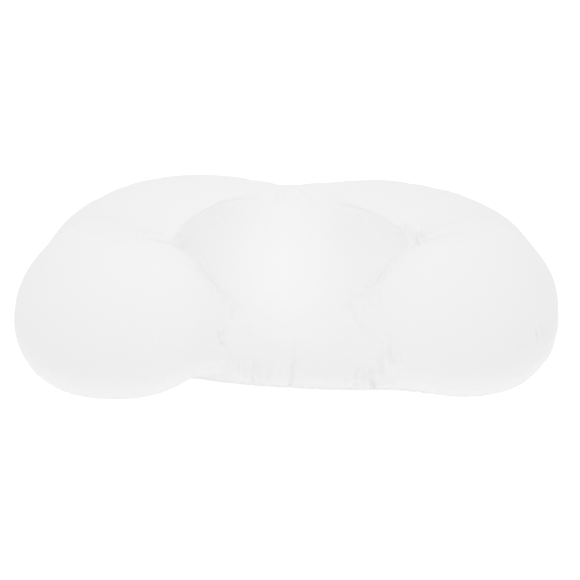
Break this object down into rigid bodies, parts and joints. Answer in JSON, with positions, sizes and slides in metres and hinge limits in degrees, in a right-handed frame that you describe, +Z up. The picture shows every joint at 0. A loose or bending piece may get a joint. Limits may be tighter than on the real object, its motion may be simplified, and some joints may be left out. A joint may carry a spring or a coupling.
{
  "type": "contoured head pillow",
  "caption": "White contoured head pillow with a round lobe at each front corner, a low neck roll between them, and an egg-shaped hollow for the head.",
  "frame": {"origin": "on the surface that the pillow rests on, under the middle of its box", "axes": "+Z up; +X to the pillow's right as seen from its neck roll; +Y from the neck roll to the back"},
  "size_m": [0.6268, 0.3934, 0.1259],
  "materials": {
    "cover": "matt fine stretch knit, plain white"
  },
  "bodies": {
    "root": {"pillow": "cover"}
  },
  "joints": []
}
